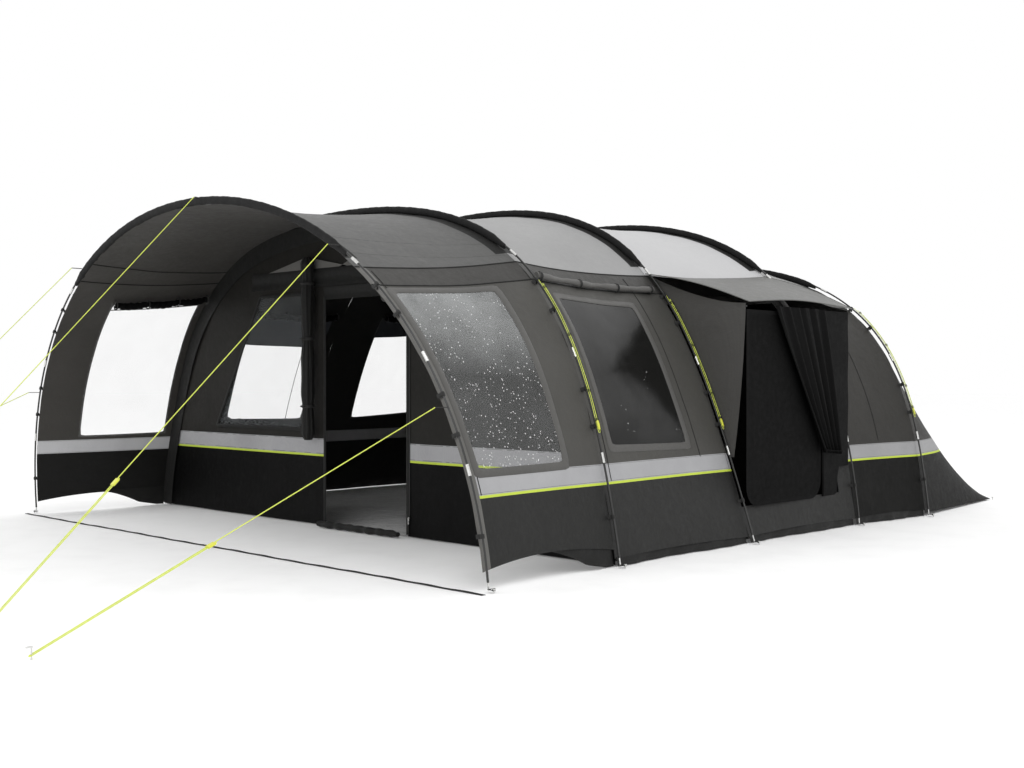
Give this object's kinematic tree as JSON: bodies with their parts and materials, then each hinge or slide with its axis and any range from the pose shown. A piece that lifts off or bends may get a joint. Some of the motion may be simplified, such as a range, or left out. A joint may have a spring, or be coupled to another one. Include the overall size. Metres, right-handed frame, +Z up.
{
  "type": "tunnel tent",
  "caption": "Long tunnel tent on hoop poles, with an open front canopy, side windows, a side porch, a pitched tail and guy lines.",
  "frame": {"origin": "centre of the ground under the tent, without its guy lines", "axes": "+X to the side with the porch, +Y from the canopy to the rear, +Z up"},
  "size_m": [4.905, 7.991, 2.196],
  "materials": {
    "clear_film": "gloss",
    "cord_lime": "matt",
    "fabric_black": "matt",
    "fabric_dark": "satin",
    "fabric_roof_light": "satin",
    "fabric_roof_mid": "satin",
    "fabric_roof_pale": "satin",
    "ground_grey": "satin",
    "mesh_black": "matt",
    "metal": "brushed",
    "pole_black": "satin",
    "runner_yellow": "gloss",
    "webbing": "matt",
    "zip_black": "matt"
  },
  "bodies": {
    "tent": {"bedroom_floor": "fabric_dark", "bedroom_front": "fabric_black", "bedroom_shell": "fabric_roof_light", "curtain_rolls": "fabric_black", "door_roll": "fabric_dark", "door_sill": "fabric_dark", "door_ties": "webbing", "foot_pegs": "metal", "front_header": "fabric_dark", "front_strap": "webbing", "front_wall_left": "fabric_dark", "front_wall_right": "fabric_dark", "front_window": "clear_film", "groundsheet": "ground_grey", "guy_crown": "cord_lime", "guy_left_mid": "cord_lime", "guy_left_shoulder": "cord_lime", "guy_pegs": "metal", "guy_right_mid": "cord_lime", "guy_right_shoulder": "cord_lime", "guy_tabs": "webbing", "hanks_left": "cord_lime", "hanks_right": "cord_lime", "mud_flaps": "fabric_black", "pole_1": "pole_black", "pole_2": "pole_black", "pole_3": "pole_black", "pole_4": "pole_black", "pole_5": "pole_black", "pole_clips": "webbing", "pole_ferrules": "metal", "pole_sleeves": "fabric_black", "pole_tips": "metal", "porch_gusset_front": "fabric_dark", "porch_gusset_rear": "fabric_dark", "porch_rear_panel": "fabric_dark", "porch_roof": "fabric_roof_mid", "porch_struts": "pole_black", "roof_canopy": "fabric_roof_mid", "roof_end": "fabric_dark", "roof_middle": "fabric_roof_light", "roof_rear": "fabric_roof_pale", "side_curtain": "fabric_dark", "side_windows": "clear_film", "tail": "fabric_dark", "walls_left": "fabric_dark", "walls_right": "fabric_dark", "zip_tape": "zip_black"},
    "runner_body_crown": {"runner_crown": "runner_yellow"},
    "runner_body_right_shoulder": {"runner_right_shoulder": "runner_yellow"},
    "runner_body_left_shoulder": {"runner_left_shoulder": "runner_yellow"},
    "runner_body_right_mid": {"runner_right_mid": "runner_yellow"},
    "runner_body_left_mid": {"runner_left_mid": "runner_yellow"},
    "side_door_leaf": {"side_door": "mesh_black"},
    "zip_pull": {"zip_slider": "metal"}
  },
  "joints": [
    {"name": "runner_crown_slide", "type": "slide", "parent": "tent", "child": "runner_body_crown", "axis": [-0.0025, -0.6868, -0.7268], "range_m": [0, 0.3]},
    {"name": "runner_right_shoulder_slide", "type": "slide", "parent": "tent", "child": "runner_body_right_shoulder", "axis": [-0.003, -0.715, -0.6991], "range_m": [0, 0.3]},
    {"name": "runner_left_shoulder_slide", "type": "slide", "parent": "tent", "child": "runner_body_left_shoulder", "axis": [-0.0029, -0.7038, -0.7104], "range_m": [0, 0.3]},
    {"name": "runner_right_mid_slide", "type": "slide", "parent": "tent", "child": "runner_body_right_mid", "axis": [-0.0033, -0.9162, -0.4007], "range_m": [0, 0.3]},
    {"name": "runner_left_mid_slide", "type": "slide", "parent": "tent", "child": "runner_body_left_mid", "axis": [-0.0033, -0.9105, -0.4135], "range_m": [0, 0.3]},
    {"name": "side_door_swing", "type": "hinge", "parent": "tent", "child": "side_door_leaf", "pos_m": [2.242, -0.572, 0.8], "axis": [0, 0, 1], "range_deg": [0, 80]},
    {"name": "door_zip_slide", "type": "slide", "parent": "tent", "child": "zip_pull", "axis": [0, 0, 1], "range_m": [0, 1.3]}
  ]
}
